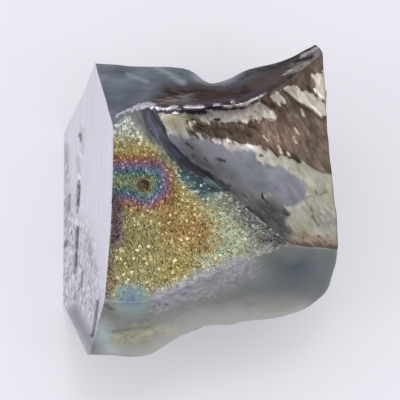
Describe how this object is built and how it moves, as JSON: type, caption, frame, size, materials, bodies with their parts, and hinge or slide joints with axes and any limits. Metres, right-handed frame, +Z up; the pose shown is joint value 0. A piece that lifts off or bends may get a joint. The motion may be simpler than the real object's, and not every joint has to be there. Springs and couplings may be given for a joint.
{
  "type": "vanadium metal piece",
  "caption": "Broken chunk of vanadium metal, sawn flat at one end, with a grainy oxide-coloured face beside a torn hollow; it lies on a flat face.",
  "frame": {"origin": "middle of the bounding box, on the base plane", "axes": "+Z up from the flat face that it lies on; -X towards the sawn end; -Y towards the smooth band under the front"},
  "size_m": [0.0074, 0.0088, 0.0051],
  "materials": {
    "oxidised_vanadium": "bare metal with a thin oxide film: grainy gold, green and violet on one face, mirror-like grey and brown in the torn hollow, pale satin on the saw cut"
  },
  "bodies": {
    "root": {"vanadium_piece": "oxidised_vanadium"}
  },
  "joints": []
}
